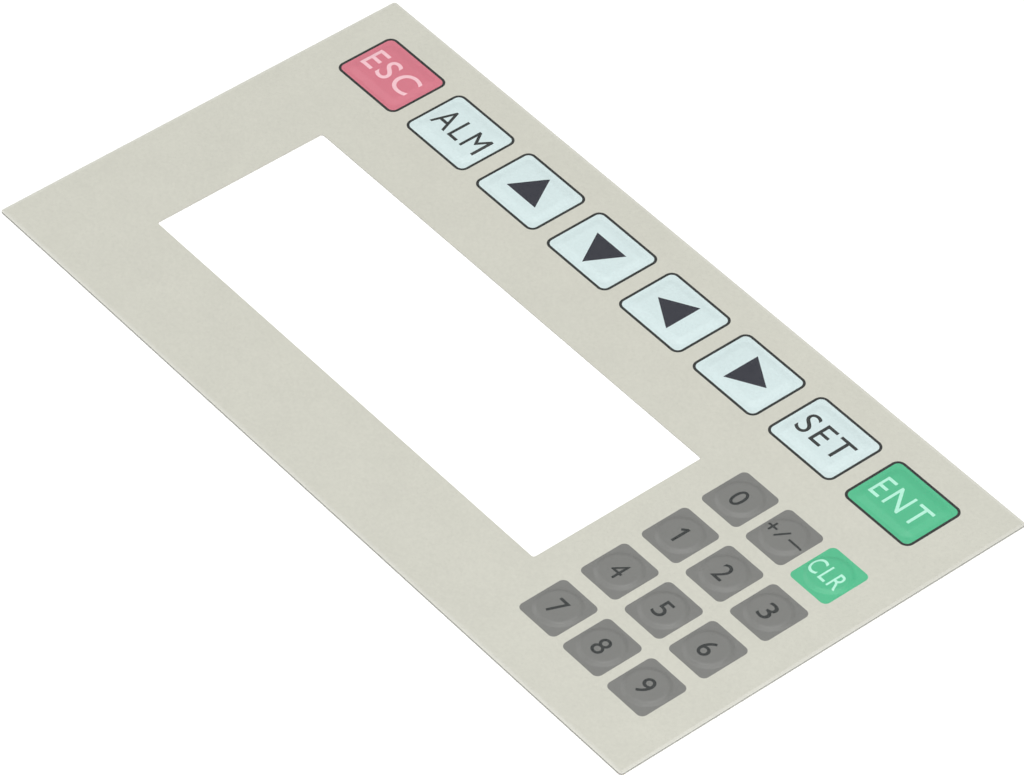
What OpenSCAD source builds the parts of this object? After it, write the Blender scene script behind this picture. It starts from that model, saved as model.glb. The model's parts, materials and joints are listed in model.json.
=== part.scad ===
// Membrane keypad for a small display panel: one thin laminated sheet with a clear window, a row of eight
// function keys along its upper edge and a pad of twelve number keys beside the window.
// Millimetres. The sheet lies face up. +X runs along the row of function keys, +Y towards that row and +Z out
// of the face. The origin is the middle of the back.

/* [Sheet] */
// Length of the sheet, along the row of function keys
sheet_w = 164; // [162:1:180]
// Height of the sheet, across the row of function keys
sheet_h = 86; // [83:1:100]
// Radius of the sheet's corners
sheet_r = 0.6; // [0.5:0.1:4]

/* [Layers] */
// Thickness of the paper release liner
liner_t = 0.08; // [0.05:0.01:0.15]
// Thickness of the adhesive on the back
adhesive_t = 0.1; // [0.05:0.01:0.15]
// Thickness of the carrier tape that holds the snap domes
tape_t = 0.05; // [0.03:0.01:0.1]
// Thickness of a printed layer of ink
ink_t = 0.02; // [0.01:0.01:0.03]
// Thickness of the clear overlay film
film_t = 0.2; // [0.15:0.01:0.3]

/* [Window] */
// Length of the clear window
window_w = 100.4; // [90:0.1:101]
// Height of the clear window
window_h = 35.6; // [30:0.1:40]
// From the sheet's left edge to the window
window_from_left = 19.1; // [10:0.1:22]
// From the sheet's upper edge to the window
window_from_top = 31.3; // [28:0.1:34]
// Radius of the window's corners
window_r = 0.5; // [0.5:0.1:3]

/* [Function keys] */
// Width of a function key, over its outline
function_w = 15.9; // [14:0.1:17]
// Height of a function key, over its outline
function_h = 12.8; // [12:0.1:14]
// Outer radius of a function key's corners
function_r = 1.6; // [1.6:0.1:2.5]
// Width of the dark outline round a function key
outline_w = 0.5; // [0.2:0.05:0.5]
// Distance between the centres of two function keys
function_pitch = 19; // [18:0.1:19.2]
// From the sheet's left edge to the centre of the first function key
function_from_left = 14.8; // [12:0.1:16]
// From the sheet's upper edge to the centres of the function keys
function_from_top = 12.5; // [9:0.1:15]
// Side of a triangular arrow
arrow_side = 7.6; // [5:0.1:7.8]

/* [Number keys] */
// Width of a number key
number_w = 9; // [8.6:0.1:10]
// Height of a number key
number_h = 9.9; // [8.6:0.1:12]
// Radius of a number key's corners
number_r = 1.1; // [0.5:0.1:2]
// Distance between the centres of two number keys along the sheet
number_pitch_x = 10.9; // [10.5:0.1:12]
// Distance between the centres of two number keys across the sheet
number_pitch_y = 12.8; // [12.2:0.1:13]
// From the sheet's left edge to the centres of the first column of number keys
number_from_left = 130.6; // [129:0.1:132]
// From the sheet's upper edge to the centres of the first row of number keys
number_from_top = 32.5; // [30:0.1:36]

/* [Relief and domes] */
// Height that a key is formed up out of the sheet
relief = 0.25; // [0.15:0.01:0.3]
// From the edge of a function key's coloured field to the foot of its relief
function_inset = 0.7; // [0.2:0.1:0.9]
// Radius of the corners of a function key's relief, at its foot
function_relief_r = 1.8; // [1.8:0.1:2.4]
// Width of the slope round a function key's flat top
function_slope = 1.6; // [0.6:0.1:1.6]
// Diameter of the round relief on a number key, at its foot
number_relief_d = 8.5; // [8.2:0.1:8.6]
// Width of the slope round a number key's flat top
number_slope = 1; // [0.5:0.1:2]
// Diameter of a snap dome
dome_d = 8; // [7:0.1:8.1]
// Thickness of a snap dome's steel
dome_t = 0.06; // [0.05:0.01:0.1]
// Clearance round a snap dome in the adhesive
dome_gap = 0.3; // [0.1:0.1:0.5]
// Width of the air channels that join the domes' places
channel_w = 1; // [0.5:0.1:2]

/* [Hidden] */
// A circle with more than 12 segments stands for a true one. The domes' shallow arcs need the most.
$fn = 64;
dome_fn = 256;

// Height of the underside of each layer, from the back upwards, and of the face
z_adhesive = liner_t;
z_tape = z_adhesive + adhesive_t;
z_ink = z_tape + tape_t;
z_film = z_ink + ink_t;
z_face = z_film + film_t;

// How far a cutting shape runs past what it cuts
past = 0.2;

// The domes stand on the liner and touch the tape, so their height follows from the layers
dome_h = adhesive_t + relief;

left = -sheet_w / 2;
top = sheet_h / 2;
window_centre = [
    left + window_from_left + window_w / 2,
    top - window_from_top - window_h / 2
];

// The coloured field inside a function key's outline
field_w = function_w - 2 * outline_w;
field_h = function_h - 2 * outline_w;
field_r = function_r - outline_w;

// The foot of the relief inside that field
pad_w = field_w - 2 * function_inset;
pad_h = field_h - 2 * function_inset;

// Keys by name and ink. A function key that has an arrow says how its tip is turned from +X.
FUNCTION_KEYS = [
    ["escape", "red"],
    ["alarm", "pale"],
    ["up", "pale", 90],
    ["down", "pale", -90],
    ["left", "pale", 180],
    ["right", "pale", 0],
    ["set", "pale"],
    ["enter", "green"]
];
NUMBER_KEYS = [
    [["0", "grey"], ["sign", "grey"], ["clear", "green"]],
    [["1", "grey"], ["2", "grey"], ["3", "grey"]],
    [["4", "grey"], ["5", "grey"], ["6", "grey"]],
    [["7", "grey"], ["8", "grey"], ["9", "grey"]]
];

function function_place(i) = [left + function_from_left + i * function_pitch, top - function_from_top];
function number_place(row, column) = [
    left + number_from_left + column * number_pitch_x,
    top - number_from_top - row * number_pitch_y
];

function_indices = [0 : len(FUNCTION_KEYS) - 1];
rows = [0 : len(NUMBER_KEYS) - 1];
columns = [0 : len(NUMBER_KEYS[0]) - 1];

// Every key's name and place, for what is the same under all of them
ALL_KEYS = concat(
    [for (i = function_indices) [FUNCTION_KEYS[i][0], function_place(i)]],
    [for (row = rows, column = columns) [NUMBER_KEYS[row][column][0], number_place(row, column)]]
);

INKS = ["red", "pale", "green", "grey"];
INK_COLOURS = [[0.87, 0.47, 0.53], [0.85, 0.91, 0.91], [0.33, 0.77, 0.58], [0.53, 0.53, 0.53]];
OTHER_NODES = [
    "overlay_film", "ground_ink", "key_outlines", "arrow_marks", "carrier_tape", "rear_adhesive", "release_liner"
];

// Flat shapes

module rounded(w, h, r) {
    square([w, h - 2 * r], center = true);
    square([w - 2 * r, h], center = true);
    for (x = [-1, 1], y = [-1, 1]) translate([x * (w / 2 - r), y * (h / 2 - r)]) circle(r);
}

module sheet_outline() rounded(sheet_w, sheet_h, sheet_r);

module window_outline() translate(window_centre) rounded(window_w, window_h, window_r);

module open_sheet() {
    difference() {
        sheet_outline();
        window_outline();
    }
}

// An arrow is an equilateral triangle round the middle of its key
module arrow(turn) rotate(turn) circle(arrow_side / sqrt(3), $fn = 3);

// Relief

// A bar whose two long sides slope inwards by the same run, lying along X
module sloped_bar(length, w, slope) {
    rotate([90, 0, 90]) linear_extrude(length, center = true)
        polygon([
            [-w / 2, -past], [w / 2, -past], [w / 2, 0],
            [w / 2 - slope, relief], [slope - w / 2, relief], [-w / 2, 0]
        ]);
}

// The flat-topped pad that a function key is formed to, with its foot at height 0 and a skirt below it
module function_pad() {
    r = function_relief_r;
    sloped_bar(pad_w - 2 * r, pad_h, function_slope);
    rotate(90) sloped_bar(pad_h - 2 * r, pad_w, function_slope);
    for (x = [-1, 1], y = [-1, 1]) translate([x * (pad_w / 2 - r), y * (pad_h / 2 - r), 0]) {
        cylinder(h = relief, r1 = r, r2 = r - function_slope);
        translate([0, 0, -past]) cylinder(h = past, r = r);
    }
}

// The round flat-topped pad of a number key, made in the same way
module number_pad() {
    cylinder(h = relief, d1 = number_relief_d, d2 = number_relief_d - 2 * number_slope);
    translate([0, 0, -past]) cylinder(h = past, d = number_relief_d);
}

module all_pads(z) {
    for (i = function_indices) translate([each function_place(i), z]) function_pad();
    for (row = rows, column = columns) translate([each number_place(row, column), z]) number_pad();
}

// A layer of the sheet from height z upwards, t thick, that follows the relief of every key
module formed_layer(z, t) {
    difference() {
        union() {
            translate([0, 0, z]) linear_extrude(t) children();
            intersection() {
                all_pads(z + t);
                translate([0, 0, z]) linear_extrude(t + relief) sheet_outline();
            }
        }
        all_pads(z);
    }
}

// The ink of one key, t thick from height z upwards. The children are its flat outline and its pad.
module formed_ink() {
    difference() {
        union() {
            translate([0, 0, z_ink]) linear_extrude(ink_t) children(0);
            intersection() {
                translate([0, 0, z_film]) children(1);
                translate([0, 0, z_ink]) linear_extrude(ink_t + relief) children(0);
            }
        }
        translate([0, 0, z_ink]) children(1);
    }
}

// The layers, from the face downwards

// One clear film over the whole sheet, formed up at every key
module overlay_film() {
    color([0.93, 0.95, 0.94], 0.3) formed_layer(z_film, film_t) sheet_outline();
}

// The pale ground, left open at the window and at every key
module ground_ink() {
    color([0.83, 0.83, 0.78]) translate([0, 0, z_ink]) linear_extrude(ink_t) difference() {
        open_sheet();
        for (i = function_indices) translate(function_place(i)) rounded(function_w, function_h, function_r);
        for (row = rows, column = columns) translate(number_place(row, column)) rounded(number_w, number_h, number_r);
    }
}

module key_outlines() {
    color([0.13, 0.16, 0.15]) translate([0, 0, z_ink]) linear_extrude(ink_t)
        for (i = function_indices) translate(function_place(i)) difference() {
            rounded(function_w, function_h, function_r);
            rounded(field_w, field_h, field_r);
        }
}

// The arrows lie in the same layer as the field round them and go up the same relief
module arrow_marks() {
    color([0.24, 0.24, 0.29]) for (i = function_indices) if (len(FUNCTION_KEYS[i]) > 2) {
        translate(function_place(i)) formed_ink() {
            arrow(FUNCTION_KEYS[i][2]);
            function_pad();
        }
    }
}

module key_ink(n) {
    color(INK_COLOURS[n]) {
        for (i = function_indices) if (FUNCTION_KEYS[i][1] == INKS[n]) {
            translate(function_place(i)) formed_ink() {
                difference() {
                    rounded(field_w, field_h, field_r);
                    if (len(FUNCTION_KEYS[i]) > 2) arrow(FUNCTION_KEYS[i][2]);
                }
                function_pad();
            }
        }
        for (row = rows, column = columns) if (NUMBER_KEYS[row][column][1] == INKS[n]) {
            translate(number_place(row, column)) formed_ink() {
                rounded(number_w, number_h, number_r);
                number_pad();
            }
        }
    }
}

// The tape that holds the domes, formed with the film above it
module carrier_tape() {
    color([0.86, 0.87, 0.83]) formed_layer(z_tape, tape_t) open_sheet();
}

// A shallow steel dome that stands on the liner and touches the tape with its crown
module snap_dome() {
    r = dome_d / 2;
    sphere_r = (r * r + dome_h * dome_h) / (2 * dome_h);
    color([0.75, 0.76, 0.77]) translate([0, 0, z_adhesive]) rotate_extrude() intersection() {
        translate([0, dome_h - sphere_r]) difference() {
            circle(sphere_r, $fn = dome_fn);
            circle(sphere_r - dome_t, $fn = dome_fn);
        }
        square([r, dome_h]);
    }
}

// Adhesive over the whole back, left open at the window, round every dome and along the air channels
module rear_adhesive() {
    color([0.9, 0.88, 0.78]) translate([0, 0, z_adhesive]) linear_extrude(adhesive_t) difference() {
        open_sheet();
        for (key = ALL_KEYS) translate(key[1]) circle(d = dome_d + 2 * dome_gap);
        translate([function_place(0)[0], function_place(0)[1] - channel_w / 2])
            square([(len(FUNCTION_KEYS) - 1) * function_pitch, channel_w]);
        for (column = columns)
            translate([number_place(0, column)[0] - channel_w / 2, number_place(len(NUMBER_KEYS) - 1, column)[1]])
                square([channel_w, (len(NUMBER_KEYS) - 1) * number_pitch_y]);
    }
}

// Paper that covers the adhesive until the keypad is fitted
module release_liner() {
    color([0.95, 0.94, 0.9]) linear_extrude(liner_t) open_sheet();
}

overlay_film();
ground_ink();
key_outlines();
arrow_marks();
for (n = [0 : len(INKS) - 1]) key_ink(n);
carrier_tape();
for (key = ALL_KEYS) translate(key[1]) snap_dome();
rear_adhesive();
release_liner();
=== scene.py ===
# %% [markdown]
# A membrane keypad is a stack of thin sheets: a clear film that is printed on its back, a tape that
# carries small steel domes, a layer of adhesive and the paper that covers it until the keypad is fitted.
# The stack comes from a CAD model as a fixed frame. This lesson dresses it: the film and the printed key
# fields are modelled again with soft relief, the key legends are added, and every layer gets its finish.

# %% Load the frame
import json
import math

import bpy
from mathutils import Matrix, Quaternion, Vector

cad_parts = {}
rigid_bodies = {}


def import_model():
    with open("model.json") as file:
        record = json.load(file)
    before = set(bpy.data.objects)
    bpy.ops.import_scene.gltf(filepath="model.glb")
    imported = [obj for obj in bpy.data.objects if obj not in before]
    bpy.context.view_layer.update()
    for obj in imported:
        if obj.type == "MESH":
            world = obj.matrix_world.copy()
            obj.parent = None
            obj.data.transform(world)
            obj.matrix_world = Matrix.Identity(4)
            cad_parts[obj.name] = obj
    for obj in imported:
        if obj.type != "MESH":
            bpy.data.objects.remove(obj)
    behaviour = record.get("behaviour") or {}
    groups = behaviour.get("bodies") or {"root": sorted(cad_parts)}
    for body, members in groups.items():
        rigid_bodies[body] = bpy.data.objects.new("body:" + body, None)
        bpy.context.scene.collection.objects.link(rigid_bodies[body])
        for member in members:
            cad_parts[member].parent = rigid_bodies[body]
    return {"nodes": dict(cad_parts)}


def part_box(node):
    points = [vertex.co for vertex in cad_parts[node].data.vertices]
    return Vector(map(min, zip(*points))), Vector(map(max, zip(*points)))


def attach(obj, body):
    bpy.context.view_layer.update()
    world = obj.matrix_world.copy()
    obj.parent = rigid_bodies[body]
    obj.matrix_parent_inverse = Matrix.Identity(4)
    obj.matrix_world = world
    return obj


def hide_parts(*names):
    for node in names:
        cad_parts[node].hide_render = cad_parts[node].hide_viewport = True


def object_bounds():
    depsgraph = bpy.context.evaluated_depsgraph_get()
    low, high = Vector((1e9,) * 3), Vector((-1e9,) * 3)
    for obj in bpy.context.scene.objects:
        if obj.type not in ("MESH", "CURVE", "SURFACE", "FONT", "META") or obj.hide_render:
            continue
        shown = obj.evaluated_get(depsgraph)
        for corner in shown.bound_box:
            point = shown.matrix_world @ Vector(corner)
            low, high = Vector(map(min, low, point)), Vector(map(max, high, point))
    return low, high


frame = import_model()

MM = 0.001
cad_low, cad_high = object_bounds()
nodes = frame["nodes"]
frame_size = [round(side / MM, 2) for side in cad_high - cad_low]
print("The frame has", len(nodes), "nodes and measures", frame_size, "mm")

# %% [markdown]
# The photograph looks down at the sheet from 45 degrees with a long lens, so the camera comes first. It
# is placed by its azimuth, elevation and distance from a point near the middle of the sheet, and is
# rolled by nearly a degree, as a camera on a hand-set tripod is. Azimuth 0 would look along +Y.

# %% Camera
AZIMUTH = math.radians(50.006)
ELEVATION = math.radians(45.0)
ROLL = math.radians(0.853)
DISTANCE = 0.99121
LOOK_AT = Vector((5.288 * MM, -1.918 * MM, 0.0))
SENSOR_WIDTH = 36.0
LENS = 210.592
CLIP_START = 0.1
CLIP_END = 20.0

towards_camera = Vector((
    math.sin(AZIMUTH) * math.cos(ELEVATION),
    -math.cos(AZIMUTH) * math.cos(ELEVATION),
    math.sin(ELEVATION),
))
bpy.ops.object.camera_add(location=LOOK_AT + towards_camera * DISTANCE)
camera = bpy.context.object
camera.rotation_mode = "QUATERNION"
camera.rotation_quaternion = towards_camera.to_track_quat("Z", "Y") @ Quaternion((0, 0, 1), ROLL)
camera.data.lens = LENS
camera.data.sensor_width = SENSOR_WIDTH
camera.data.clip_start = CLIP_START
camera.data.clip_end = CLIP_END
scene = bpy.context.scene
scene.camera = camera
scene.view_settings.view_transform = "Standard"
print("The camera stands", round(camera.location.z, 3), "m above the sheet")

# %% [markdown]
# Every height and every key's place is read from the frame, so nothing has to be fitted afterwards. A
# snap dome lies in the middle of its key. The print on the flat sheet gives the flat level, and the red
# key, which goes up with the relief, gives the height of that and the size of a function key's field.

# %% Heights and places
FUNCTION_KEYS = {
    "escape": "red", "alarm": "pale", "up": "pale", "down": "pale",
    "left": "pale", "right": "pale", "set": "pale", "enter": "green",
}
NUMBER_KEYS = {
    "0": "grey", "sign": "grey", "clear": "green",
    "1": "grey", "2": "grey", "3": "grey",
    "4": "grey", "5": "grey", "6": "grey",
    "7": "grey", "8": "grey", "9": "grey",
}
INKS = ("red", "pale", "green", "grey")


def middle(node):
    """The middle of a node, seen from above."""
    low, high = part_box(node)
    return (low.x + high.x) / 2, (low.y + high.y) / 2


key_middle = {key: middle("dome_" + key) for key in [*FUNCTION_KEYS, *NUMBER_KEYS]}
print_low, print_high = (corner.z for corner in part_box("ground_ink"))
INK_THICKNESS = print_high - print_low
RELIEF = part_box("red_key_ink")[1].z - print_high
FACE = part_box("overlay_film")[1].z - RELIEF
field_low, field_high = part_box("red_key_ink")
FUNCTION_FIELD = (field_high.x - field_low.x, field_high.y - field_low.y)
sheet_low, sheet_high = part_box("overlay_film")
SHEET = (sheet_high.x - sheet_low.x, sheet_high.y - sheet_low.y)
print("Face at", round(FACE / MM, 3), "mm, relief", round(RELIEF / MM, 3), "mm")
print("Function key field", [round(side / MM, 2) for side in FUNCTION_FIELD], "mm")

# %% [markdown]
# Each key is a printed field with a raised pad in it, and all pads are equally high. A function key's pad
# is a low cushion inside its field, with a wide slope. A number key's is a steeper disc over its dome.

# %% Sizes of the fields and pads
SHEET_RADIUS = 0.6 * MM
FIELD_RADIUS = 1.1 * MM
NUMBER_FIELD = (9.0 * MM, 9.9 * MM)
PAD_INSET = 0.7 * MM
FUNCTION_PAD = tuple(side - 2 * PAD_INSET for side in FUNCTION_FIELD)
FUNCTION_PAD_RADIUS = 1.8 * MM
FUNCTION_SLOPE = 1.6 * MM
NUMBER_PAD_RADIUS = 4.25 * MM
NUMBER_SLOPE = 1.0 * MM
print("Function key pad", [round(side / MM, 2) for side in FUNCTION_PAD], "mm at its foot")

# %% [markdown]
# The film is formed hot over a tool, so a pad has no sharp line: the slope leaves the sheet in a short
# curve and runs into the flat top in a wider one. A bevel could round the two lines of a plain pad, but a
# section that is worked out first keeps the pad's height and width exact. It is a list of small steps,
# each an inset and a lift. A narrow flat step lies before and after it, so that smooth shading doesn't
# spill out over the flat sheet.

# %% The section of a formed pad
FOOT_CURVE = 0.15 * MM
RIM_CURVE = 0.28 * MM
FLAT_STEP = 0.04 * MM
SOFT_STEPS = 4


def soft_start(distance, curve):
    """A slope of one to one that starts softly, over a curve that reaches as far on both sides of zero."""
    if distance <= -curve:
        return 0.0
    if distance >= curve:
        return distance
    return (distance + curve) ** 2 / (4 * curve)


def pad_height(run, slope):
    """The height of a pad's section at a distance inside its foot."""
    steepness = RELIEF / (slope - RIM_CURVE)
    return steepness * (soft_start(run, FOOT_CURVE) - soft_start(run - slope + RIM_CURVE, RIM_CURVE))


def curve_runs(centre, curve):
    """Distances through the soft curve round one edge of the slope."""
    return [centre + curve * (2 * step / SOFT_STEPS - 1) for step in range(SOFT_STEPS + 1)]


def pad_steps(slope):
    """(inset, lift) steps from just outside the foot up to the flat top."""
    runs = curve_runs(0.0, FOOT_CURVE) + curve_runs(slope - RIM_CURVE, RIM_CURVE)
    steps = []
    for last, run in zip(runs, runs[1:]):
        steps.append((run - last, pad_height(run, slope) - pad_height(last, slope)))
    return steps + [(FLAT_STEP, 0.0)]


print("A pad rises in", len(pad_steps(FUNCTION_SLOPE)), "steps")

# %% [markdown]
# An operator acts on all that is selected, so each one starts from a clean selection. The first helper
# clears it, and the second moves one piece alone into edit mode or out of it.

# %% Selection and edit mode
def nothing_selected():
    """Deselects every object."""
    for piece in bpy.context.view_layer.objects:
        piece.select_set(False)


def edit(piece, mode):
    """Goes into or out of edit mode on one piece alone."""
    if mode == "EDIT":
        nothing_selected()
        piece.select_set(True)
        bpy.context.view_layer.objects.active = piece
    bpy.ops.object.mode_set(mode=mode)


# %% [markdown]
# A plate is the start of every layer: a plane at its size and place, with its corners bevelled round. A
# round pad starts from a filled circle. Both are one flat face that looks up.

# %% Plates and discs
CORNER_SEGMENTS = 10
ROUND_SEGMENTS = 72


def plate(centre, size, radius, z):
    """A rounded rectangle as one upward face."""
    nothing_selected()
    bpy.ops.mesh.primitive_plane_add(size=1, location=(*centre, z))
    piece = bpy.context.object
    edit(piece, "EDIT")
    bpy.ops.transform.resize(value=(*size, 1))
    bpy.ops.mesh.bevel(offset=radius, segments=CORNER_SEGMENTS, affect="VERTICES")
    edit(piece, "OBJECT")
    bpy.ops.object.transform_apply()
    return piece


def disc(centre, radius, z):
    """A circle as one upward face."""
    nothing_selected()
    bpy.ops.mesh.primitive_circle_add(
        vertices=ROUND_SEGMENTS, radius=radius, fill_type="NGON", location=(*centre, z)
    )
    bpy.ops.object.transform_apply()
    return bpy.context.object


# %% [markdown]
# A pad is a plate or a disc that is inset and lifted step by step, so that every ring of faces follows
# the outline. The outline lies a little outside the foot, where the foot's soft curve begins, and the
# flat edge comes outside that.

# %% Pads
def raise_face(piece, steps):
    """Insets and lifts a piece's one face, step by step, and leaves the innermost face selected."""
    edit(piece, "EDIT")
    bpy.ops.mesh.select_mode(type="FACE")
    bpy.ops.mesh.select_all(action="SELECT")
    for inset, lift in steps:
        bpy.ops.mesh.inset(thickness=inset, depth=lift)
    edit(piece, "OBJECT")


def growth(size, by):
    """A width and height that are larger by the same amount on every side."""
    return tuple(side + 2 * by for side in size)


def pad(key, edge, z):
    """The pad of one key, with a flat edge round its foot."""
    reach = FOOT_CURVE + edge
    if key in FUNCTION_KEYS:
        slope = FUNCTION_SLOPE
        piece = plate(key_middle[key], growth(FUNCTION_PAD, reach), FUNCTION_PAD_RADIUS + reach, z)
    else:
        slope = NUMBER_SLOPE
        piece = disc(key_middle[key], NUMBER_PAD_RADIUS + reach, z)
    flat_edge = [(edge, 0.0)] if edge else []
    raise_face(piece, flat_edge + pad_steps(slope))
    return piece


# %% [markdown]
# A formed layer is an outline with pads in it. The outline's inner face is opened, and the flat between
# its edge and the feet of the pads is filled between those closed loops, which is quicker and cleaner
# than a grid: the flat stays flat, and the faces go where the shape is. The outline's own outer edge is
# open too, so it is marked as a seam first, and the loops to fill are the open edges that aren't seams.

# %% Joining, opening and filling
def joined(pieces, name):
    """Several pieces as one object with one mesh."""
    nothing_selected()
    for piece in pieces:
        piece.select_set(True)
    bpy.context.view_layer.objects.active = pieces[0]
    if len(pieces) > 1:
        bpy.ops.object.join()
    piece = bpy.context.object
    piece.name = piece.data.name = name
    return piece


def open_face(piece):
    """Marks a piece's outer edge as a seam and deletes its selected innermost face."""
    innermost = [face.index for face in piece.data.polygons if face.select]
    edit(piece, "EDIT")
    bpy.ops.mesh.select_mode(type="EDGE")
    bpy.ops.mesh.select_non_manifold(extend=False, use_boundary=True)
    bpy.ops.mesh.mark_seam()
    bpy.ops.mesh.select_mode(type="FACE")
    bpy.ops.mesh.select_all(action="DESELECT")
    edit(piece, "OBJECT")
    for index in innermost:
        piece.data.polygons[index].select = True
    edit(piece, "EDIT")
    bpy.ops.mesh.delete(type="ONLY_FACE")
    edit(piece, "OBJECT")


def fill_between(piece):
    """Fills the flat between the open edges, apart from the real edges."""
    edit(piece, "EDIT")
    bpy.ops.mesh.select_mode(type="EDGE")
    bpy.ops.mesh.select_non_manifold(extend=False, use_wire=True, use_boundary=True)
    edit(piece, "OBJECT")
    for edge in piece.data.edges:
        edge.select = edge.select and not edge.use_seam
    edit(piece, "EDIT")
    bpy.ops.mesh.fill(use_beauty=True)
    edit(piece, "OBJECT")


# %% [markdown]
# The filled surface has no thickness yet. Its doubles are merged and its faces are turned up, and then it
# is extruded straight down. Solidify would move every point along its normal instead, so a slope's back
# would lie at another distance, and the thin layers would run into each other. Faces that meet at less
# than the smooth angle are shaded as one soft surface, and the cut edge stays sharp.

# %% From a surface to a layer
MERGE_DISTANCE = 0.0005 * MM
SMOOTH_ANGLE = math.radians(35)


def turned_up(piece):
    """Merges doubles and points every face of an open surface upwards."""
    edit(piece, "EDIT")
    bpy.ops.mesh.select_all(action="SELECT")
    bpy.ops.mesh.remove_doubles(threshold=MERGE_DISTANCE)
    bpy.ops.mesh.normals_make_consistent(inside=False)
    edit(piece, "OBJECT")
    if sum(face.normal.z * face.area for face in piece.data.polygons) < 0:
        edit(piece, "EDIT")
        bpy.ops.mesh.flip_normals()
        edit(piece, "OBJECT")


def thickened(piece, thickness):
    """Extrudes an open surface straight down into a closed layer."""
    edit(piece, "EDIT")
    bpy.ops.mesh.select_all(action="SELECT")
    bpy.ops.mesh.extrude_region_move(TRANSFORM_OT_translate={"value": (0, 0, -thickness)})
    bpy.ops.mesh.select_all(action="SELECT")
    bpy.ops.mesh.normals_make_consistent(inside=False)
    edit(piece, "OBJECT")
    bpy.ops.object.shade_smooth_by_angle(angle=SMOOTH_ANGLE)


def triangles(piece):
    """How many triangles a piece's faces come to."""
    return sum(len(face.vertices) - 2 for face in piece.data.polygons)


def height_range(piece):
    """From where to where a piece reaches in height, in words."""
    heights = [vertex.co.z / MM for vertex in piece.data.vertices]
    return f"from {min(heights):.3f} to {max(heights):.3f} mm"


# %% [markdown]
# The film covers the whole sheet. Its pads lie over those of the keys, and it leaves a gap of a hundredth
# of a millimetre above the print: two clear faces in one place would speckle. A die cuts the sheet to
# size from the front, and the film's edge rolls over by a few hundredths where the blade enters. That
# line catches the light all round the sheet, so the outline starts low and rises in four steps.

# %% The film
PRINT_GAP = 0.012 * MM
film_back = print_high + PRINT_GAP
ROLL_RUNS = (0.05 * MM, 0.10 * MM, 0.18 * MM, 0.30 * MM)
ROLL_WIDTH = sum(ROLL_RUNS)
ROLL_DROP = 0.03 * MM


def roll_steps():
    """(inset, lift) steps over the rolled edge, along a quarter of an ellipse."""
    steps = []
    done = 0.0
    last = 0.0
    for run in ROLL_RUNS:
        done += run
        height = ROLL_DROP * math.sqrt(1 - (1 - done / ROLL_WIDTH) ** 2)
        steps.append((run, height - last))
        last = height
    return steps + [(FLAT_STEP, 0.0)]


outline = plate(middle("overlay_film"), SHEET, SHEET_RADIUS, FACE - ROLL_DROP)
raise_face(outline, roll_steps())
open_face(outline)
film = joined([outline] + [pad(key, FLAT_STEP, FACE) for key in key_middle], "satin_film")
fill_between(film)
turned_up(film)
thickened(film, FACE - film_back)
print("The film has", triangles(film), "triangles")

# %% [markdown]
# The extrusion has copied the rolled edge to the film's back too, where the real film is flat, because
# the print lies there. The low vertices of the back are selected by their height and flattened to its
# plane.

# %% The film's flat back
LEVEL_MARGIN = 0.0001 * MM

edit(film, "EDIT")
bpy.ops.mesh.select_mode(type="VERT")
bpy.ops.mesh.select_all(action="DESELECT")
edit(film, "OBJECT")
for vertex in film.data.vertices:
    vertex.select = vertex.co.z < film_back - LEVEL_MARGIN
low_count = sum(vertex.select for vertex in film.data.vertices)
edit(film, "EDIT")
bpy.ops.transform.resize(value=(1, 1, 0), center_override=(0, 0, film_back))
edit(film, "OBJECT")
print(low_count, "vertices are flattened, and the film reaches", height_range(film))

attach(film, "root")
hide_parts("overlay_film")

# %% [markdown]
# Each ink is printed on the film's back and goes up with it, so a key's colour follows the pad. The field
# of a key is a rounded rectangle with the pad in it, and the flat between their edges is filled.

# %% Key fields
def field(key):
    """The ink of one key: a flat rounded rectangle with its pad in it."""
    size = FUNCTION_FIELD if key in FUNCTION_KEYS else NUMBER_FIELD
    flat = plate(key_middle[key], size, FIELD_RADIUS, print_high)
    raise_face(flat, [(FLAT_STEP, 0.0)])
    open_face(flat)
    whole = joined([flat, pad(key, 0.0, print_high)], "field")
    fill_between(whole)
    return whole


def ink_surface(keys, name):
    """The upper surface of the ink of some keys."""
    surface = joined([field(key) for key in keys], name)
    turned_up(surface)
    return surface


prints = {}
for ink in INKS:
    keys = [key for key, colour in (FUNCTION_KEYS | NUMBER_KEYS).items() if colour == ink]
    prints[ink] = ink_surface(keys, ink + "_key_print")
    thickened(prints[ink], INK_THICKNESS)
    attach(prints[ink], "root")
    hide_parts(ink + "_key_ink")
    ink + "_ink"
    print(ink, "print:", triangles(prints[ink]), "triangles")

# %% [markdown]
# The legends are the first thing that is printed on the film's back, so they lie between the film and the
# colour of the key. Their strokes are thin, their letters are narrow and the gaps are wide. Words and
# figures are pieces of text, sized in millimetres. The built-in typeface has a figure 1 without its flag
# and a short dash, so those two legends are laid out from bars, as a draughtsman would with tape. An
# arrow is an equilateral triangle.

# %% Measures of the legends
TEXT_SIZE = 10 * MM
LETTER_SPACING = 1.15
# Each word, its width and height, its shift from the key's middle, and the weight added to its strokes.
WORDS = {
    "escape": ("ESC", (11.85 * MM, 5.05 * MM), (-0.30 * MM, 0.23 * MM), 0.06 * MM),
    "alarm": ("ALM", (11.7 * MM, 4.9 * MM), (0.05 * MM, 0.19 * MM), 0.0),
    "set": ("SET", (10.9 * MM, 4.9 * MM), (0.02 * MM, 0.02 * MM), 0.0),
    "enter": ("ENT", (11.25 * MM, 4.8 * MM), (-0.13 * MM, -0.15 * MM), 0.0),
    "clear": ("CLR", (6.95 * MM, 3.65 * MM), (-0.37 * MM, -0.12 * MM), 0.05 * MM),
}
FIGURE = (2.3 * MM, 3.8 * MM)
FIGURE_SHIFT = (-0.15 * MM, -0.10 * MM)
FIGURE_WEIGHT = 0.05 * MM
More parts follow.
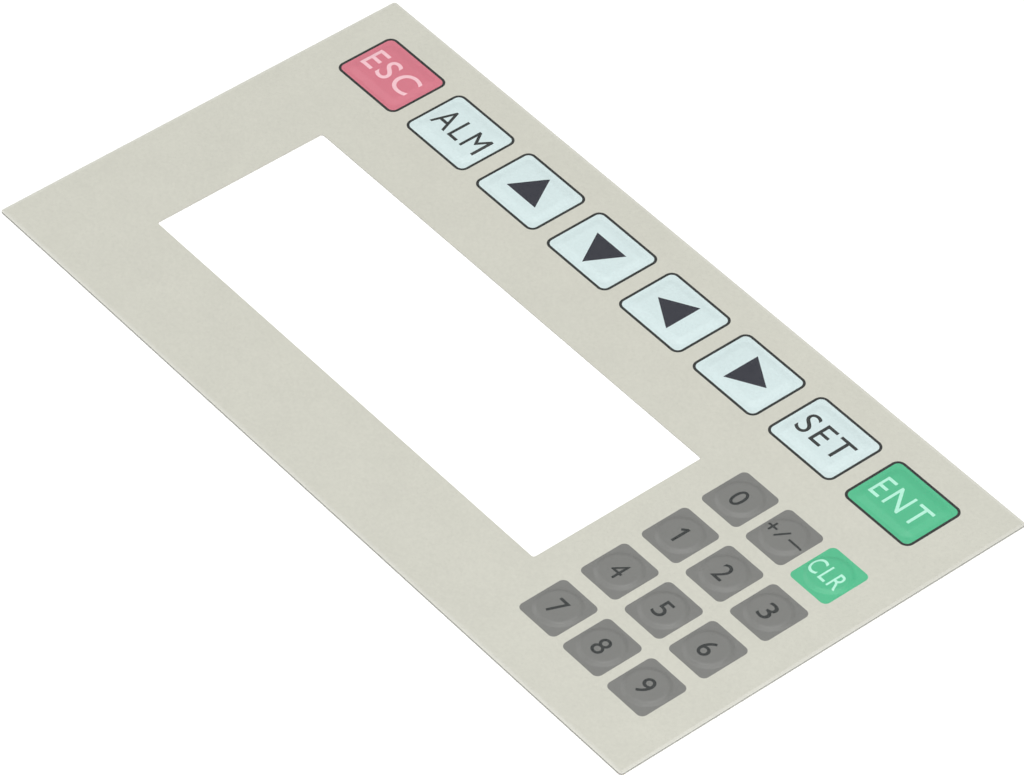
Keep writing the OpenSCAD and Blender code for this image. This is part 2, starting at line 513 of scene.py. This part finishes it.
# The stroke of a legend's bars, and for each bar how far right and up it lies, its length and its turn.
BARS = {
    "1": (0.55 * MM, (
        (0.3 * MM, 0.0, FIGURE[1], 90),
        (-0.15 * MM, 1.3 * MM, 1.2 * MM, 40),
    )),
    "sign": (0.42 * MM, (
        (-2.75 * MM, 0.15 * MM, 2.1 * MM, 0),
        (-2.75 * MM, 0.15 * MM, 2.1 * MM, 90),
        (-0.45 * MM, 0.15 * MM, 2.9 * MM, 58),
        (2.6 * MM, 0.15 * MM, 3.0 * MM, 0),
    )),
}
ARROW_TURN = {"up": 90, "down": -90, "left": 180, "right": 0}
ARROW_SIDE = 7.6 * MM
print(len(WORDS), "words,", len(BARS), "legends of bars and", len(ARROW_TURN), "arrows")

# %% [markdown]
# Three helpers make the flat shapes. Text is turned into a mesh and then moved and stretched to its
# measured width and height. A bar is a plane that is scaled and turned, and an arrow is a circle of three
# corners.

# %% Text, bars and arrows
def flat_text(words, size, place, weight):
    """Words as a flat mesh of a width and height round a place, with strokes made fuller by a weight."""
    nothing_selected()
    bpy.ops.object.text_add(location=(0, 0, 0))
    text = bpy.context.object
    text.data.body = words
    text.data.size = TEXT_SIZE
    text.data.offset = weight
    text.data.space_character = LETTER_SPACING
    bpy.ops.object.convert(target="MESH")
    letters = bpy.context.object
    xs = [vertex.co.x for vertex in letters.data.vertices]
    ys = [vertex.co.y for vertex in letters.data.vertices]
    to_origin = (-(max(xs) + min(xs)) / 2, -(max(ys) + min(ys)) / 2, 0)
    stretch = (size[0] / (max(xs) - min(xs)), size[1] / (max(ys) - min(ys)), 1)
    edit(letters, "EDIT")
    bpy.ops.mesh.select_all(action="SELECT")
    bpy.ops.transform.translate(value=to_origin)
    bpy.ops.transform.resize(value=stretch, center_override=(0, 0, 0))
    bpy.ops.transform.translate(value=(*place, 0))
    edit(letters, "OBJECT")
    return letters


def bar(place, length, turn, stroke):
    """A straight bar of a length, turned from +X, round a place."""
    nothing_selected()
    bpy.ops.mesh.primitive_plane_add(size=1, location=(*place, 0), rotation=(0, 0, math.radians(turn)))
    piece = bpy.context.object
    piece.scale = (length, stroke, 1)
    bpy.ops.object.transform_apply()
    return piece


def arrow(place, turn):
    """A solid triangle whose tip is turned from +X, round a place."""
    nothing_selected()
    bpy.ops.mesh.primitive_circle_add(
        vertices=3,
        radius=ARROW_SIDE / math.sqrt(3),
        fill_type="NGON",
        location=(*place, 0),
        rotation=(0, 0, math.radians(turn - 90)),
    )
    bpy.ops.object.transform_apply()
    return bpy.context.object


# %% [markdown]
# Each legend has its place on its own key. Every word is set by its own measures, and the figures share
# one width, height and place, as they come from one set of figures.

# %% The flat legend of a key
def place_on(key, shift):
    """A place that is shifted from a key's middle."""
    return key_middle[key][0] + shift[0], key_middle[key][1] + shift[1]


def flat_legend(key):
    """One key's legend as flat pieces."""
    if key in ARROW_TURN:
        return [arrow(key_middle[key], ARROW_TURN[key])]
    if key in WORDS:
        words, size, shift, weight = WORDS[key]
        return [flat_text(words, size, place_on(key, shift), weight)]
    x, y = place_on(key, FIGURE_SHIFT)
    if key in BARS:
        stroke, bars = BARS[key]
        return [bar((x + right, y + up), length, turn, stroke) for right, up, length, turn in bars]
    # A fuller stroke would close the small triangle in a 4.
    weight = 0.0 if key == "4" else FIGURE_WEIGHT
    return [flat_text(key, FIGURE, (x, y), weight)]


# %% [markdown]
# Print follows the relief. A legend is first made as a tall prism, and the thin layer that the print lies
# in is cut out of it with a Boolean: the same formed surface as the key's colour, six thousandths of a
# millimetre higher and a little thinner. What is left has the prism's outline and the surface's slope,
# which matters where a wide legend runs down the side of a round pad. A Boolean forgets which edges are
# sharp, so the legend is shaded by angle again, or its flat face would shine as if its strokes were
# rounded.

# %% Legends on the relief
LEGEND_RISE = 0.006 * MM
LEGEND_THICKNESS = 0.014 * MM
PRISM_HEIGHT = 2 * MM
LEGEND_GROUPS = {
    "printed_arrows": (("up", "down", "left", "right"), "mark_ink"),
    "dark_legends": (("alarm", "set"), "mark_ink"),
    "figure_legends": (("0", "sign", "1", "2", "3", "4", "5", "6", "7", "8", "9"), "mark_ink"),
    "light_legend_on_red": (("escape",), "pale_ink"),
    "light_legends_on_green": (("enter", "clear"), "pale_ink"),
}


def prism(name, keys):
    """The legends of some keys as tall upright pieces that pass through the keys' surface."""
    legend = joined([part for key in keys for part in flat_legend(key)], name)
    edit(legend, "EDIT")
    bpy.ops.mesh.select_all(action="SELECT")
    bpy.ops.mesh.remove_doubles(threshold=MERGE_DISTANCE)
    bpy.ops.transform.translate(value=(0, 0, -PRISM_HEIGHT / 2))
    bpy.ops.mesh.extrude_region_move(TRANSFORM_OT_translate={"value": (0, 0, PRISM_HEIGHT)})
    bpy.ops.mesh.select_all(action="SELECT")
    bpy.ops.mesh.normals_make_consistent(inside=False)
    edit(legend, "OBJECT")
    return legend


def legend_layer(keys):
    """The thin layer that the print of some keys' legends lies in."""
    layer = ink_surface(keys, "legend_layer")
    edit(layer, "EDIT")
    bpy.ops.mesh.select_all(action="SELECT")
    bpy.ops.transform.translate(value=(0, 0, LEGEND_RISE))
    edit(layer, "OBJECT")
    thickened(layer, LEGEND_THICKNESS)
    return layer


def formed_legends(name, keys):
    """The legends of some keys, as thin pieces that follow the keys' surface."""
    legend = prism(name, keys)
    layer = legend_layer(keys)
    nothing_selected()
    legend.select_set(True)
    bpy.context.view_layer.objects.active = legend
    cut = legend.modifiers.new("layer", "BOOLEAN")
    cut.operation = "INTERSECT"
    cut.solver = "EXACT"
    cut.use_self = True
    cut.object = layer
    bpy.ops.object.modifier_apply(modifier=cut.name)
    bpy.ops.object.shade_smooth_by_angle(angle=SMOOTH_ANGLE)
    bpy.data.objects.remove(layer)
    return legend


legends = {}
for name, (keys, slot) in LEGEND_GROUPS.items():
    legends[name] = formed_legends(name, keys)
    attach(legends[name], "root")
    print(name, triangles(legends[name]), "triangles,", height_range(legends[name]))
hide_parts("arrow_marks")

# %% [markdown]
# Materials are worked out in Python. A small class wraps one socket of a material's node tree: arithmetic
# on it adds Math nodes, and every other node comes from one method, which takes the node's type, its
# settings and what goes into its sockets. A finish then reads like the sentence that describes it.

# %% A class for shader values
class Value:
    """One socket of a node tree, with arithmetic. Without a socket it only starts a tree's nodes."""

    def __init__(self, tree, socket=None):
        self.tree = tree
        self.socket = socket

    def node(self, kind, settings=None, inputs=None, output=0):
        """Adds a node, makes its settings, fills its sockets and gives one of its outputs."""
        made = self.tree.nodes.new(kind)
        for name, setting in (settings or {}).items():
            setattr(made, name, setting)
        for name, value in (inputs or {}).items():
            if isinstance(value, Value):
                self.tree.links.new(value.socket, made.inputs[name])
            else:
                made.inputs[name].default_value = value
        if not made.outputs:
            return None
        return Value(self.tree, made.outputs[output])

    def maths(self, operation, first, second):
        """A Math node on two values."""
        return self.node("ShaderNodeMath", {"operation": operation}, {0: first, 1: second})

    def __add__(self, other):
        return self.maths("ADD", self, other)

    def __rsub__(self, other):
        return self.maths("SUBTRACT", other, self)

    def __mul__(self, other):
        return self.maths("MULTIPLY", self, other)

    __radd__ = __add__
    __rmul__ = __mul__

    def largest(self, other):
        """The larger of two values."""
        return self.maths("MAXIMUM", self, other)

    def ranged(self, low, high):
        """A number between two, by this value."""
        return low + (high - low) * self

    def between(self, first, second):
        """A colour between two, by this value."""
        # A Mix node has sockets for each type of value. Those for colours are inputs 6 and 7 and output 2.
        colours = {0: self, 6: (*first, 1), 7: (*second, 1)}
        return self.node("ShaderNodeMix", {"data_type": "RGBA"}, colours, output=2)

    def noise(self, size, detail=2.0, stretch=(1, 1, 1)):
        """Soft noise whose features are about size metres across, stretched along the axes."""
        place = self.node("ShaderNodeTexCoord", output="Object")
        scale = tuple(1 / factor for factor in stretch)
        shaped = self.node("ShaderNodeMapping", {}, {"Vector": place, "Scale": scale})
        return self.node("ShaderNodeTexNoise", {}, {"Vector": shaped, "Scale": 1 / size, "Detail": detail})

    def bump(self, depth):
        """A surface normal roughened by this value, depth metres deep."""
        return self.node("ShaderNodeBump", {}, {"Height": self, "Distance": depth, "Strength": 1.0})


# %% [markdown]
# Every finish starts with an empty material and ends in a shader that is joined to its output. On most of
# these parts that is one Principled shader, which can be ink, plastic, paper or metal.

# %% The start and end of a finish
def new_finish(name):
    """An empty material and a value to start its nodes from."""
    material = bpy.data.materials.new(name)
    material.use_nodes = True
    material.node_tree.nodes.clear()
    return material, Value(material.node_tree)


def surface_of(start, **sockets):
    """A Principled shader joined to the material's output. Underscores in socket names stand for spaces."""
    inputs = {name.replace("_", " "): value for name, value in sockets.items()}
    shader = start.node("ShaderNodeBsdfPrincipled", {}, inputs)
    start.node("ShaderNodeOutputMaterial", {}, {"Surface": shader})


# %% [markdown]
# Screen-printed ink on the back of a film has no gloss of its own, because it is wetted to the film. What
# is seen is its colour, a little uneven: slow clouds from the squeegee's pressure, and a fine grain from
# the screen's mesh. The ink is therefore a matt shader with those two noises in its colour.

# %% Ink finishes
CLOUD_SIZE = 9 * MM
CLOUD_SHARE = 0.35
GRAIN_SIZE = 0.5 * MM
INK_SPREAD = 0.10
INK_ROUGHNESS = (0.75, 0.90)
INK_COLOURS = {
    "ground": (0.656, 0.653, 0.570),
    "outline": (0.008, 0.012, 0.010),
    "mark": (0.014, 0.016, 0.029),
    "legend": (0.014, 0.019, 0.018),
    "red": (0.700, 0.190, 0.252),
    "pale": (0.700, 0.830, 0.830),
    "green": (0.075, 0.530, 0.272),
    "grey": (0.202, 0.204, 0.192),
    "light on red": (0.960, 0.595, 0.650),
    "light on green": (0.500, 0.940, 0.745),
}


def shades(colour, spread):
    """A darker and a lighter version of a colour."""
    return [tuple(channel * factor for channel in colour) for factor in (1 - spread, 1 + spread)]


def ink_finish(name):
    """The matt, slightly uneven ink of one colour."""
    material, start = new_finish(name.replace(" ", "_") + "_ink")
    grain = start.noise(GRAIN_SIZE, detail=1.0)
    tone = CLOUD_SHARE * start.noise(CLOUD_SIZE) + (1 - CLOUD_SHARE) * grain
    surface_of(
        start,
        Base_Color=tone.between(*shades(INK_COLOURS[name], INK_SPREAD)),
        Roughness=grain.ranged(*INK_ROUGHNESS),
        Specular_IOR_Level=0.0,
    )
    return material


ink_material = {name: ink_finish(name) for name in INK_COLOURS}
print("Inks:", ", ".join(material.name for material in ink_material.values()))

# %% [markdown]
# The film is clear polyester with a fine satin face. Refraction in so thin a sheet shifts the print by
# less than a tenth of a millimetre, and would keep the lamps' light from it, so the film is a mix: clear,
# with a share of blurred gloss that grows at a shallow angle as Fresnel says. Only faces seen from
# outside have gloss. The fine bump is the texture of the satin face, and its roughness changes slowly
# over the sheet.

# %% The film's finish
FILM_IOR = 1.45
SATIN_SIZE = 0.2 * MM
SATIN_DEPTH = 0.0012 * MM
SATIN_CLOUD_SIZE = 3 * MM
SATIN_ROUGHNESS = (0.34, 0.46)
SATIN_GLOSS = 0.018
EDGE_ON_GLOSS = 0.35


def over_clear(start, share, shader):
    """A share of a shader on the faces seen from outside, and clear film for the rest."""
    outside = 1 - start.node("ShaderNodeNewGeometry", output="Backfacing")
    clear = start.node("ShaderNodeBsdfTransparent", {}, {"Color": (1, 1, 1, 1)})
    mixed = start.node("ShaderNodeMixShader", {}, {0: outside * share, 1: clear, 2: shader})
    start.node("ShaderNodeOutputMaterial", {}, {"Surface": mixed})


def film_finish(name, least_gloss):
    """Clear film with a satin gloss, which is least where the film is seen straight on."""
    material, start = new_finish(name)
    gloss = start.node("ShaderNodeBsdfPrincipled", {}, {
        "Base Color": (1, 1, 1, 1),
        "Metallic": 1.0,
        "Roughness": start.noise(SATIN_CLOUD_SIZE).ranged(*SATIN_ROUGHNESS),
        "Normal": start.noise(SATIN_SIZE, detail=3.0).bump(SATIN_DEPTH),
    })
    edge_on = start.node("ShaderNodeFresnel", {}, {"IOR": FILM_IOR})
    over_clear(start, least_gloss + EDGE_ON_GLOSS * edge_on, gloss)
    return material


film.data.materials.append(film_finish("satin_film", SATIN_GLOSS))
print("The film is finished as", film.data.materials[0].name)

# %% [markdown]
# The die leaves its marks on the film's edge. Where the film is cut through, its wall is frosted, with
# streaks from top to bottom, so the streaks are noise that is stretched along Z. Its dark grey is partly
# painted shade: the near edges lie in shade, and the wall's colour is darkened to give that dark line. The
# blade burnishes the rolled edge, which has more gloss than the satin face and shows as a thin light line.

# %% The film's cut and burnished edges
STREAK_SIZE = 0.15 * MM
STREAK_STRETCH = (1, 1, 12)
STREAK_DEPTH = 0.002 * MM
# The frosted wall's grey is darkened as painted shade, for the dark line along the shaded near edges.
FROSTED_AND_SHADE_COLOURS = ((0.16, 0.163, 0.16), (0.24, 0.244, 0.24))
FROSTED_ROUGHNESS = 0.45
BURNISHED_GLOSS = 0.072


def shaded_cut_edge_finish():
    """The frosted wall that a die leaves, darkened with painted shade."""
    material, start = new_finish("film_cut_edge_painted_shade")
    streaks = start.noise(STREAK_SIZE, stretch=STREAK_STRETCH)
    frosted_shaded_wall = start.node("ShaderNodeBsdfPrincipled", {}, {
        "Base Color": streaks.between(*FROSTED_AND_SHADE_COLOURS),
        "Roughness": FROSTED_ROUGHNESS,
        "Normal": streaks.bump(STREAK_DEPTH),
    })
    over_clear(start, 1.0, frosted_shaded_wall)
    return material


film.data.materials.append(shaded_cut_edge_finish())
film.data.materials.append(film_finish("burnished_film_edge", BURNISHED_GLOSS))
print("The film's slots:", ", ".join(material.name for material in film.data.materials))

# %% [markdown]
# The faces for the three finishes are found by their normal and place, so nothing has to be picked by
# hand: a wall's normal is nearly level, and the rolled edge is the upward strip along the outline.

# %% Which finish each face of the film has
SATIN_SLOT = 0
CUT_SLOT = 1
BURNISHED_SLOT = 2
LEVEL_NORMAL = 0.3


def film_slot(face):
    """The material slot of one face of the film."""
    if abs(face.normal.z) < LEVEL_NORMAL:
        return CUT_SLOT
    inside = min(SHEET[0] / 2 - abs(face.center.x), SHEET[1] / 2 - abs(face.center.y))
    if inside < ROLL_WIDTH and face.normal.z > 0:
        return BURNISHED_SLOT
    return SATIN_SLOT


film_slots = [film_slot(face) for face in film.data.polygons]
film.data.polygons.foreach_set("material_index", film_slots)
print("Satin faces:", film_slots.count(SATIN_SLOT))
print("Cut faces:", film_slots.count(CUT_SLOT))
print("Burnished faces:", film_slots.count(BURNISHED_SLOT))

# %% [markdown]
# Under the print lie the parts that make the keys work. They show only along the cut edge, and on the
# bench when the sheets are peeled apart, but each is a real material. A node of the frame keeps its mesh,
# and only its material is changed. The first is the tape that holds the domes to the back of the print:
# thin milky film with a soft haze, which one noise in colour and roughness gives. Its colour is darkened
# in part as painted shade, for the dark line along the shaded cut edge.

# %% The tape
# The tape's colours are darkened in part as painted shade, for the dark line along the shaded cut edge.
TAPE_AND_SHADE_COLOURS = ((0.58, 0.59, 0.56), (0.70, 0.71, 0.68))
TAPE_ROUGHNESS = (0.40, 0.55)
HAZE_SIZE = 2 * MM


def dress(node, material):
    """Gives a node of the frame its finish."""
    nodes[node].data.materials.clear()
    nodes[node].data.materials.append(material)


def shaded_tape_finish():
    """Thin milky film, darkened in part with painted shade."""
    material, start = new_finish("carrier_tape")
    haze = start.noise(HAZE_SIZE, detail=4.0)
    surface_of(start, Base_Color=haze.between(*TAPE_AND_SHADE_COLOURS), Roughness=haze.ranged(*TAPE_ROUGHNESS))
    return material


dress("carrier_tape", shaded_tape_finish())
print("The tape is finished as", nodes["carrier_tape"].data.materials[0].name)

# %% [markdown]
# The adhesive is a soft yellowish layer with small air marks, where it hasn't wetted the tape. The same
# noise drives its colour, roughness and bump, because a mark is paler, duller and a little raised all at
# once. Its colour is darkened in part as painted shade too, for the dark line along the shaded cut edge.

# %% The adhesive
# The adhesive's colours are darkened in part as painted shade, for the dark line along the shaded cut edge.
ADHESIVE_AND_SHADE_COLOURS = ((0.50, 0.48, 0.40), (0.64, 0.62, 0.54))
ADHESIVE_ROUGHNESS = (0.20, 0.50)
AIR_MARK_SIZE = 0.6 * MM
AIR_MARK_DEPTH = 0.01 * MM


def shaded_adhesive_finish():
    """Soft adhesive with small air marks, darkened in part with painted shade."""
    material, start = new_finish("acrylic_adhesive_painted_shade")
    marks = start.noise(AIR_MARK_SIZE, detail=5.0)
    surface_of(
        start,
        Base_Color=marks.between(*ADHESIVE_AND_SHADE_COLOURS),
        Roughness=marks.ranged(*ADHESIVE_ROUGHNESS),
        Normal=marks.bump(AIR_MARK_DEPTH),
    )
    return material


dress("rear_adhesive", shaded_adhesive_finish())
print("The adhesive is finished as", nodes["rear_adhesive"].data.materials[0].name)

# %% [markdown]
# The liner is smooth paper. Its fibres lie mostly along the machine's direction, so they are noise that
# is stretched along X, and a slow second noise is the cloudy look of paper held against the light.

# %% The liner
LINER_COLOURS = ((0.80, 0.78, 0.72), (0.90, 0.88, 0.83))
LINER_ROUGHNESS = (0.45, 0.65)
FIBRE_SIZE = 0.5 * MM
FIBRE_STRETCH = (4, 1, 1)
FIBRE_DEPTH = 0.003 * MM
PAPER_CLOUD_SIZE = 5 * MM


def liner_finish():
    """Smooth paper with faint fibres."""
    material, start = new_finish("liner_paper")
    fibres = start.noise(FIBRE_SIZE, detail=4.0, stretch=FIBRE_STRETCH)
    clouds = start.noise(PAPER_CLOUD_SIZE, detail=3.0)
    surface_of(
        start,
        Base_Color=(0.5 * fibres + 0.5 * clouds).between(*LINER_COLOURS),
        Roughness=fibres.ranged(*LINER_ROUGHNESS),
        Normal=fibres.bump(FIBRE_DEPTH),
    )
    return material


dress("release_liner", liner_finish())
print("The liner is finished as", nodes["release_liner"].data.materials[0].name)

# %% [markdown]
# The domes are stamped from bright rolled steel strip, and all of them have its grain in one direction.
# The grain is noise that is stretched far along X, and it is very shallow, so that the metal stays
# bright.

# %% The domes
STEEL_COLOURS = ((0.52, 0.52, 0.53), (0.68, 0.68, 0.67))
STEEL_ROUGHNESS = (0.20, 0.40)
ROLLING_SIZE = 0.12 * MM
ROLLING_STRETCH = (25, 1, 1)
ROLLING_DEPTH = 0.0006 * MM


def steel_finish():
    """Bright steel with the grain of the rolls."""
    material, start = new_finish("rolled_steel")
    grain = start.noise(ROLLING_SIZE, detail=3.0, stretch=ROLLING_STRETCH)
    surface_of(
        start,
        Base_Color=grain.between(*STEEL_COLOURS),
        Metallic=1.0,
        Roughness=grain.ranged(*STEEL_ROUGHNESS),
        Normal=grain.bump(ROLLING_DEPTH),
    )
    return material


steel = steel_finish()
for key in key_middle:
    dress("dome_" + key, steel)
print(len(key_middle), "domes are finished as", steel.name)

# %% [markdown]
# The inks are ready, and now each print gets its own: the two flat prints of the frame, the fields of the
# keys and the legends. The light legends are tinted by the colour of their keys, as a thin light print
# is.

# %% Give every print its ink
LEGEND_INKS = {
    "printed_arrows": "mark",
    "dark_legends": "legend",
    "figure_legends": "legend",
    "light_legend_on_red": "light on red",
    "light_legends_on_green": "light on green",
}

dress("ground_ink", ink_material["ground"])
dress("key_outlines", ink_material["outline"])
for ink in INKS:
    prints[ink].data.materials.append(ink_material[ink])
for name, ink in LEGEND_INKS.items():
    legends[name].data.materials.clear()
    legends[name].data.materials.append(ink_material[ink])
    print("Ink of", name, "is", ink_material[ink].name)

# %% [markdown]
# The stage is a white floor under an even sky. The camera, and gloss and glass, see floor and sky as
# plain white, while the light that falls on the object stays at the level at which a colour looks as it
# is written. A Light Path node tells the two kinds of ray apart.

# %% Sky
SKY_LIGHT = 0.16


def seen_directly(start):
    """1 for the rays of the camera and for those that gloss and glass send on."""
    from_camera = start.node("ShaderNodeLightPath", output="Is Camera Ray")
    from_gloss = start.node("ShaderNodeLightPath", output="Is Glossy Ray")
    from_glass = start.node("ShaderNodeLightPath", output="Is Transmission Ray")
    return from_camera.largest(from_gloss).largest(from_glass)


world = bpy.data.worlds.new("white_studio")
world.use_nodes = True
world.node_tree.nodes.clear()
sky = Value(world.node_tree)
sky_shader = sky.node("ShaderNodeBackground", {}, {
    "Color": (1, 1, 1, 1),
    "Strength": seen_directly(sky).ranged(SKY_LIGHT, 1),
})
sky.node("ShaderNodeOutputWorld", {}, {"Surface": sky_shader})
scene.world = world
print("The sky gives the sheet", SKY_LIGHT, "of full light")

# %% [markdown]
# The floor adds its white to the light that falls on it, so that the object still has a shadow. Away from
# the object, where the lamps reach it less, it adds more, so that it stays white to its far edge.

# %% Floor
FLOOR_SIZE = 8.0
FLOOR_DEPTH = 0.02 * MM
FLOOR_COLOUR = 0.8
NEAR_GLOW = 0.56
FAR_GLOW = 0.90
GLOW_START = 0.3
GLOW_END = 0.8

nothing_selected()
bpy.ops.mesh.primitive_plane_add(size=FLOOR_SIZE, location=(0, 0, cad_low.z - FLOOR_DEPTH))
floor = bpy.context.object
floor.name = "floor"
bpy.ops.object.transform_apply()
floor_material, ground = new_finish("white_floor")
matt = ground.node("ShaderNodeBsdfDiffuse", {}, {"Color": (FLOOR_COLOUR, FLOOR_COLOUR, FLOOR_COLOUR, 1)})
place = ground.node("ShaderNodeTexCoord", output="Object")
distance = ground.node("ShaderNodeVectorMath", {"operation": "LENGTH"}, {0: place}, output="Value")
added = ground.node("ShaderNodeMapRange", {}, {
    "Value": distance,
    "From Min": GLOW_START,
    "From Max": GLOW_END,
    "To Min": NEAR_GLOW,
    "To Max": FAR_GLOW,
})
glow = ground.node("ShaderNodeEmission", {}, {"Strength": seen_directly(ground) * added})
both = ground.node("ShaderNodeAddShader", {}, {0: matt, 1: glow})
ground.node("ShaderNodeOutputMaterial", {}, {"Surface": both})
floor.data.materials.append(floor_material)
print("The floor lies", round(FLOOR_DEPTH / MM, 3), "mm under the liner")

# %% [markdown]
# Three soft lamps give the sheet its form. One hangs overhead, and the slopes of the pads that lean
# towards the camera mirror it as a faint bright arc. One on the left draws that arc out, and the
# strongest stands to the right, behind the camera, and leaves the far slopes a little darker. A lamp's
# power is worked out from the share of the light on the sheet that it should give, and with the sky's the
# shares come to one.

# %% Lamps
# Each lamp's direction from the sheet, its distance and side in metres, and its share of the light.
LAMPS = {
    "overhead_softbox": ((-0.1, 0.22, 1.0), 1.0, 0.5, 0.35),
    "left_softbox": ((-0.7, -0.02, 0.7), 1.0, 0.4, 0.15),
    "right_softbox": ((0.7, -0.35, 0.62), 1.2, 0.4, 0.34),
}


def softbox(name, direction, distance, side, share):
    """A square lamp that looks at the sheet and gives it a share of full light."""
    towards = Vector(direction).normalized()
    bpy.ops.object.light_add(type="AREA", location=towards * distance)
    lamp = bpy.context.object
    lamp.name = name
    lamp.rotation_mode = "QUATERNION"
    lamp.rotation_quaternion = towards.to_track_quat("Z", "Y")
    lamp.data.shape = "SQUARE"
    lamp.data.size = side
    # At a distance d, a lamp of P watts gives a level sheet P * towards.z / (pi * d) ** 2 of full light.
    lamp.data.energy = share * math.pi ** 2 * distance ** 2 / towards.z
    print(name, "has", round(lamp.data.energy, 2), "W")
    return share


shares = [softbox(name, *values) for name, values in LAMPS.items()]
print("The lamps and the sky give", round(SKY_LIGHT + sum(shares), 2), "of full light")
